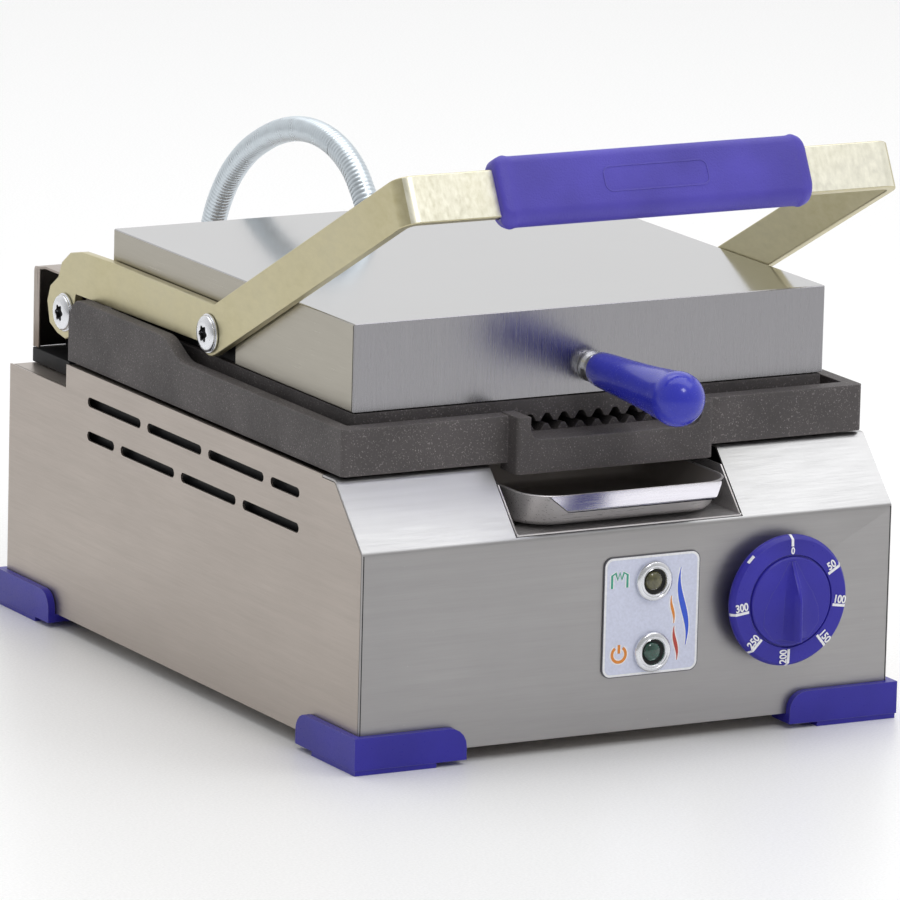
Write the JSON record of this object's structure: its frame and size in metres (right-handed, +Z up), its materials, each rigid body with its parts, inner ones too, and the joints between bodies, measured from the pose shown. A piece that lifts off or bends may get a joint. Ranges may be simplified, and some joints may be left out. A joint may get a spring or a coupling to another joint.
{
  "type": "panini press",
  "caption": "Countertop contact grill: ribbed cast plates, lid on a lifting yoke with a sleeve grip, front drip tray, thermostat knob, corner feet.",
  "frame": {"origin": "on the ground, in the middle of the footprint's bounding box", "axes": "+X to the right, +Y to the back (the yoke's grip, knob and tray face -Y), +Z up"},
  "size_m": [0.319, 0.5328, 0.3134],
  "materials": {
    "side_steel": "satin stainless sheet with a fine grain, warm grey",
    "brushed_steel": "satin stainless sheet, grey",
    "bright_steel": "bright annealed stainless, nearly mirror-like",
    "cast_iron": "speckled dark grey enamelled iron, matt and slightly rough",
    "zinc_yellow": "yellow-passivated zinc on a flat steel bar, satin",
    "fastener_zinc": "bright zinc",
    "blue_plastic": "moulded thermoset, ultramarine blue, semi-gloss",
    "violet_sleeve": "soft moulded sleeve, blue-violet, satin",
    "black_steel": "black painted steel",
    "spring_steel": "oiled spring wire",
    "bronze": "sintered bronze",
    "element": "dark oxidised heater sheath",
    "conduit_zinc": "bright strip-wound metal hose",
    "label_film": "printed lavender film",
    "amber_lens": "clear olive-amber lens, unlit",
    "green_lens": "clear green lens, unlit",
    "ceramic": "unglazed steatite",
    "black_plastic": "moulded black plastic"
  },
  "bodies": {
    "base": {"vent_screen_left": "black_steel", "vent_screen_right": "black_steel", "side_panel_left": "side_steel", "side_panel_right": "side_steel", "front_panel": "brushed_steel", "rear_panel": "side_steel", "rear_deck": "side_steel", "base_plate": "side_steel", "corner_foot_front_left": "blue_plastic", "corner_foot_front_right": "blue_plastic", "corner_foot_rear_left": "blue_plastic", "corner_foot_rear_right": "blue_plastic", "lower_plate": "cast_iron", "lower_element": "element", "lower_heat_shield": "side_steel", "tray_chute": "bright_steel", "label_plate": "label_film", "lamp_bezel_upper": "fastener_zinc", "lamp_bezel_lower": "fastener_zinc", "lamp_lens_upper": "amber_lens", "lamp_lens_lower": "green_lens", "thermostat_body": "ceramic", "tower_cover": "side_steel", "hinge_base": "black_steel", "hinge_bracket_left": "black_steel", "hinge_bracket_right": "black_steel", "shaft_bush_left": "bronze", "shaft_bush_right": "bronze", "counter_spring_left": "spring_steel", "counter_spring_right": "spring_steel", "terminal_block": "ceramic", "cable_gland": "black_plastic", "conduit_gland_rear": "fastener_zinc", "conduit": "conduit_zinc"},
    "yoke": {"lift_yoke": "zinc_yellow", "grip": "violet_sleeve", "hinge_shaft": "fastener_zinc", "hinge_bolt_left": "fastener_zinc", "hinge_bolt_right": "fastener_zinc"},
    "lid": {"lid_cover": "bright_steel", "upper_plate": "cast_iron", "upper_element": "element", "upper_heat_shield": "side_steel", "pivot_ear_left": "black_steel", "pivot_ear_right": "black_steel", "pivot_spacer_left": "bronze", "pivot_spacer_right": "bronze", "pivot_bolt_left": "fastener_zinc", "pivot_bolt_right": "fastener_zinc", "pivot_nut_left": "fastener_zinc", "pivot_nut_right": "fastener_zinc", "peg_stud": "fastener_zinc", "peg_handle": "blue_plastic", "conduit_gland_lid": "fastener_zinc"},
    "tray": {"drip_tray": "bright_steel"},
    "knob": {"thermostat_knob": "blue_plastic"}
  },
  "joints": [
    {"name": "arm_lift", "type": "hinge", "parent": "base", "child": "yoke", "pos_m": [0, 0.1526, 0.1685], "axis": [-1, 0, 0], "range_deg": [0, 60], "stiffness_Nm_per_rad": 3.6, "springref_deg": 177.62, "deforming": ["conduit"]},
    {"name": "lid_tilt", "type": "hinge", "parent": "yoke", "child": "lid", "pos_m": [0, -0.0159, 0.1892], "axis": [-1, 0, 0], "range_deg": [-15, 0]},
    {"name": "tray_slide", "type": "slide", "parent": "base", "child": "tray", "axis": [0, -1, 0], "range_m": [0, 0.1]},
    {"name": "knob_turn", "type": "hinge", "parent": "base", "child": "knob", "pos_m": [0.0885, -0.2219, 0.0705], "axis": [0, 1, 0], "range_deg": [0, 262]}
  ],
  "couplings": [
    {"joint": "lid_tilt", "follows": "arm_lift", "ratio": -0.25}
  ]
}
